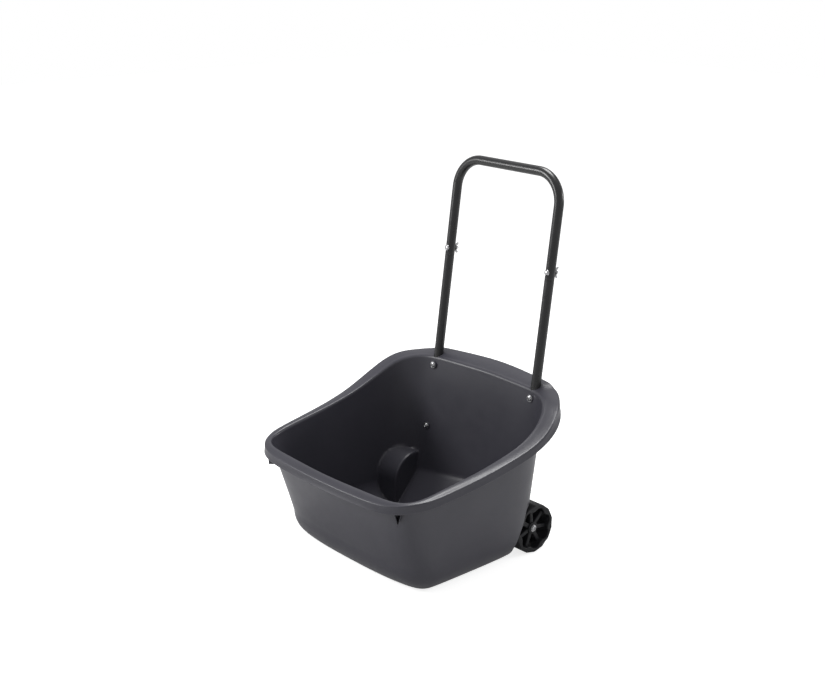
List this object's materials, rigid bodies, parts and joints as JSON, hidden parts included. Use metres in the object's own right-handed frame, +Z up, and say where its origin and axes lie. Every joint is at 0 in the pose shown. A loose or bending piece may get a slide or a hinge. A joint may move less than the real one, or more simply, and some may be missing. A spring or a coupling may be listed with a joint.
{
  "type": "garden cart",
  "caption": "Two-wheeled plastic garden cart: deep open tub with a sloping, flanged rim, wheel pockets at the back corners and a bolted U-shaped steel tube handle leaning back.",
  "frame": {"origin": "middle of the overall bounding box in plan, on the ground under the tub and wheels", "axes": "+X along the axle, to the right when looking from the low front of the tub towards the handle; +Y from the low front of the tub towards the handle; +Z up"},
  "size_m": [0.5921, 0.5758, 0.842],
  "materials": {
    "tub_plastic": "charcoal grey moulded polypropylene, soft satin",
    "handle_paint": "near-black powder coat, semi-gloss",
    "wheel_plastic": "black moulded plastic, satin",
    "plug_plastic": "black moulded plastic",
    "zinc_steel": "bright zinc plate",
    "axle_steel": "drawn bar, zinc plated"
  },
  "bodies": {
    "cart": {"tub": "tub_plastic", "handle_upper": "handle_paint", "handle_lower_left": "handle_paint", "handle_lower_right": "handle_paint", "leg_plug_left": "plug_plastic", "leg_plug_right": "plug_plastic", "joint_bolt_left": "zinc_steel", "joint_bolt_right": "zinc_steel", "joint_washer_left": "plug_plastic", "joint_washer_right": "plug_plastic", "leg_screws_upper": "zinc_steel", "leg_screws_lower": "zinc_steel", "leg_washers": "zinc_steel", "leg_nuts": "zinc_steel", "axle": "axle_steel", "axle_inner_washers": "zinc_steel", "axle_outer_washers": "zinc_steel", "axle_screw_left": "zinc_steel", "axle_screw_right": "zinc_steel"},
    "left_wheel": {"wheel_left": "wheel_plastic"},
    "right_wheel": {"wheel_right": "wheel_plastic"},
    "left_wing_nut": {"wing_nut_left": "zinc_steel"},
    "right_wing_nut": {"wing_nut_right": "zinc_steel"}
  },
  "joints": [
    {"name": "left_wheel_spin", "type": "hinge", "parent": "cart", "child": "left_wheel", "pos_m": [-0.2, 0.15, 0.057], "axis": [1, 0, 0], "continuous": true},
    {"name": "right_wheel_spin", "type": "hinge", "parent": "cart", "child": "right_wheel", "pos_m": [0.2, 0.15, 0.057], "axis": [1, 0, 0], "continuous": true},
    {"name": "left_wing_nut_turn", "type": "hinge", "parent": "cart", "child": "left_wing_nut", "pos_m": [-0.16, 0.24696, 0.61885], "axis": [0, 0.9903, -0.1392], "continuous": true},
    {"name": "right_wing_nut_turn", "type": "hinge", "parent": "cart", "child": "right_wing_nut", "pos_m": [0.16, 0.24696, 0.61885], "axis": [0, 0.9903, -0.1392], "continuous": true}
  ]
}
